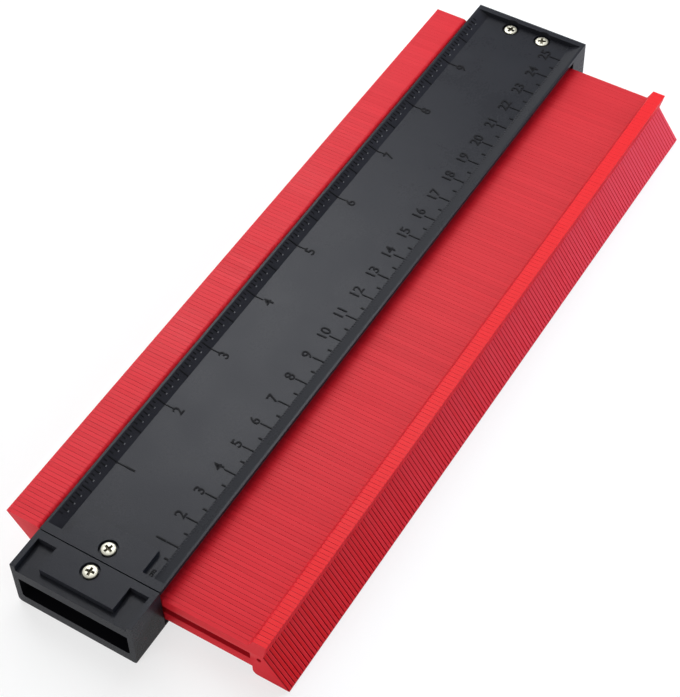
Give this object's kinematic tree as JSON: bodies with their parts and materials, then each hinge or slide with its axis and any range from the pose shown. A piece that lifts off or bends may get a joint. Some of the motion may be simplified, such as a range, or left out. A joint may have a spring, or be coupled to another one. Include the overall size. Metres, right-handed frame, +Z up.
{
  "type": "contour gauge",
  "caption": "Flat contour gauge: a black body with a moulded scale, through which a row of red leaf pins slides crosswise to copy a profile.",
  "frame": {"origin": "centre of the body's base face", "axes": "+X along the body away from the end cap with the socket, +Z up out of the scale, -Y the side to which the pins are pushed at rest"},
  "size_m": [0.281, 0.098, 0.019],
  "materials": {
    "black_plastic": "fine moulded texture",
    "red_plastic": "satin moulded",
    "steel": "plain rolled",
    "plated_steel": "bright plated",
    "foam": "soft closed-cell foam"
  },
  "bodies": {
    "gauge_body": {"bottom_housing": "black_plastic", "scale_cover": "black_plastic", "end_cap": "black_plastic", "joint_plate": "steel", "guide_bar": "steel", "upper_front_strip": "foam", "upper_rear_strip": "foam", "lower_front_strip": "foam", "lower_rear_strip": "foam", "cap_screw": "plated_steel", "cover_screw": "plated_steel", "far_screws": "plated_steel"},
    "pin_bank_01": {"pin_bank_01": "red_plastic"},
    "pin_bank_02": {"pin_bank_02": "red_plastic"},
    "pin_bank_03": {"pin_bank_03": "red_plastic"},
    "pin_bank_04": {"pin_bank_04": "red_plastic"},
    "pin_bank_05": {"pin_bank_05": "red_plastic"},
    "pin_bank_06": {"pin_bank_06": "red_plastic"},
    "pin_bank_07": {"pin_bank_07": "red_plastic"},
    "pin_bank_08": {"pin_bank_08": "red_plastic"},
    "pin_bank_09": {"pin_bank_09": "red_plastic"},
    "pin_bank_10": {"pin_bank_10": "red_plastic"},
    "pin_bank_11": {"pin_bank_11": "red_plastic"},
    "pin_bank_12": {"pin_bank_12": "red_plastic"},
    "pin_bank_13": {"pin_bank_13": "red_plastic"},
    "pin_bank_14": {"pin_bank_14": "red_plastic"},
    "pin_bank_15": {"pin_bank_15": "red_plastic"},
    "pin_bank_16": {"pin_bank_16": "red_plastic"},
    "pin_bank_17": {"pin_bank_17": "red_plastic"},
    "pin_bank_18": {"pin_bank_18": "red_plastic"},
    "pin_bank_19": {"pin_bank_19": "red_plastic"},
    "pin_bank_20": {"pin_bank_20": "red_plastic"},
    "pin_bank_21": {"pin_bank_21": "red_plastic"},
    "pin_bank_22": {"pin_bank_22": "red_plastic"},
    "pin_bank_23": {"pin_bank_23": "red_plastic"},
    "pin_bank_24": {"pin_bank_24": "red_plastic"},
    "pin_bank_25": {"pin_bank_25": "red_plastic"},
    "pin_bank_26": {"pin_bank_26": "red_plastic"},
    "pin_bank_27": {"pin_bank_27": "red_plastic"},
    "pin_bank_28": {"pin_bank_28": "red_plastic"},
    "pin_bank_29": {"pin_bank_29": "red_plastic"},
    "pin_bank_30": {"pin_bank_30": "red_plastic"},
    "pin_bank_31": {"pin_bank_31": "red_plastic"},
    "pin_bank_32": {"pin_bank_32": "red_plastic"},
    "pin_bank_33": {"pin_bank_33": "red_plastic"},
    "pin_bank_34": {"pin_bank_34": "red_plastic"}
  },
  "joints": [
    {"name": "pin_bank_01_slide", "type": "slide", "parent": "gauge_body", "child": "pin_bank_01", "axis": [0, 1, 0], "range_m": [0, 0.03]},
    {"name": "pin_bank_02_slide", "type": "slide", "parent": "gauge_body", "child": "pin_bank_02", "axis": [0, 1, 0], "range_m": [0, 0.03]},
    {"name": "pin_bank_03_slide", "type": "slide", "parent": "gauge_body", "child": "pin_bank_03", "axis": [0, 1, 0], "range_m": [0, 0.03]},
    {"name": "pin_bank_04_slide", "type": "slide", "parent": "gauge_body", "child": "pin_bank_04", "axis": [0, 1, 0], "range_m": [0, 0.03]},
    {"name": "pin_bank_05_slide", "type": "slide", "parent": "gauge_body", "child": "pin_bank_05", "axis": [0, 1, 0], "range_m": [0, 0.03]},
    {"name": "pin_bank_06_slide", "type": "slide", "parent": "gauge_body", "child": "pin_bank_06", "axis": [0, 1, 0], "range_m": [0, 0.03]},
    {"name": "pin_bank_07_slide", "type": "slide", "parent": "gauge_body", "child": "pin_bank_07", "axis": [0, 1, 0], "range_m": [0, 0.03]},
    {"name": "pin_bank_08_slide", "type": "slide", "parent": "gauge_body", "child": "pin_bank_08", "axis": [0, 1, 0], "range_m": [0, 0.03]},
    {"name": "pin_bank_09_slide", "type": "slide", "parent": "gauge_body", "child": "pin_bank_09", "axis": [0, 1, 0], "range_m": [0, 0.03]},
    {"name": "pin_bank_10_slide", "type": "slide", "parent": "gauge_body", "child": "pin_bank_10", "axis": [0, 1, 0], "range_m": [0, 0.03]},
    {"name": "pin_bank_11_slide", "type": "slide", "parent": "gauge_body", "child": "pin_bank_11", "axis": [0, 1, 0], "range_m": [0, 0.03]},
    {"name": "pin_bank_12_slide", "type": "slide", "parent": "gauge_body", "child": "pin_bank_12", "axis": [0, 1, 0], "range_m": [0, 0.03]},
    {"name": "pin_bank_13_slide", "type": "slide", "parent": "gauge_body", "child": "pin_bank_13", "axis": [0, 1, 0], "range_m": [0, 0.03]},
    {"name": "pin_bank_14_slide", "type": "slide", "parent": "gauge_body", "child": "pin_bank_14", "axis": [0, 1, 0], "range_m": [0, 0.03]},
    {"name": "pin_bank_15_slide", "type": "slide", "parent": "gauge_body", "child": "pin_bank_15", "axis": [0, 1, 0], "range_m": [0, 0.03]},
    {"name": "pin_bank_16_slide", "type": "slide", "parent": "gauge_body", "child": "pin_bank_16", "axis": [0, 1, 0], "range_m": [0, 0.03]},
    {"name": "pin_bank_17_slide", "type": "slide", "parent": "gauge_body", "child": "pin_bank_17", "axis": [0, 1, 0], "range_m": [0, 0.03]},
    {"name": "pin_bank_18_slide", "type": "slide", "parent": "gauge_body", "child": "pin_bank_18", "axis": [0, 1, 0], "range_m": [0, 0.03]},
    {"name": "pin_bank_19_slide", "type": "slide", "parent": "gauge_body", "child": "pin_bank_19", "axis": [0, 1, 0], "range_m": [0, 0.03]},
    {"name": "pin_bank_20_slide", "type": "slide", "parent": "gauge_body", "child": "pin_bank_20", "axis": [0, 1, 0], "range_m": [0, 0.03]},
    {"name": "pin_bank_21_slide", "type": "slide", "parent": "gauge_body", "child": "pin_bank_21", "axis": [0, 1, 0], "range_m": [0, 0.03]},
    {"name": "pin_bank_22_slide", "type": "slide", "parent": "gauge_body", "child": "pin_bank_22", "axis": [0, 1, 0], "range_m": [0, 0.03]},
    {"name": "pin_bank_23_slide", "type": "slide", "parent": "gauge_body", "child": "pin_bank_23", "axis": [0, 1, 0], "range_m": [0, 0.03]},
    {"name": "pin_bank_24_slide", "type": "slide", "parent": "gauge_body", "child": "pin_bank_24", "axis": [0, 1, 0], "range_m": [0, 0.03]},
    {"name": "pin_bank_25_slide", "type": "slide", "parent": "gauge_body", "child": "pin_bank_25", "axis": [0, 1, 0], "range_m": [0, 0.03]},
    {"name": "pin_bank_26_slide", "type": "slide", "parent": "gauge_body", "child": "pin_bank_26", "axis": [0, 1, 0], "range_m": [0, 0.03]},
    {"name": "pin_bank_27_slide", "type": "slide", "parent": "gauge_body", "child": "pin_bank_27", "axis": [0, 1, 0], "range_m": [0, 0.03]},
    {"name": "pin_bank_28_slide", "type": "slide", "parent": "gauge_body", "child": "pin_bank_28", "axis": [0, 1, 0], "range_m": [0, 0.03]},
    {"name": "pin_bank_29_slide", "type": "slide", "parent": "gauge_body", "child": "pin_bank_29", "axis": [0, 1, 0], "range_m": [0, 0.03]},
    {"name": "pin_bank_30_slide", "type": "slide", "parent": "gauge_body", "child": "pin_bank_30", "axis": [0, 1, 0], "range_m": [0, 0.03]},
    {"name": "pin_bank_31_slide", "type": "slide", "parent": "gauge_body", "child": "pin_bank_31", "axis": [0, 1, 0], "range_m": [0, 0.03]},
    {"name": "pin_bank_32_slide", "type": "slide", "parent": "gauge_body", "child": "pin_bank_32", "axis": [0, 1, 0], "range_m": [0, 0.03]},
    {"name": "pin_bank_33_slide", "type": "slide", "parent": "gauge_body", "child": "pin_bank_33", "axis": [0, 1, 0], "range_m": [0, 0.03]},
    {"name": "pin_bank_34_slide", "type": "slide", "parent": "gauge_body", "child": "pin_bank_34", "axis": [0, 1, 0], "range_m": [0, 0.03]}
  ]
}
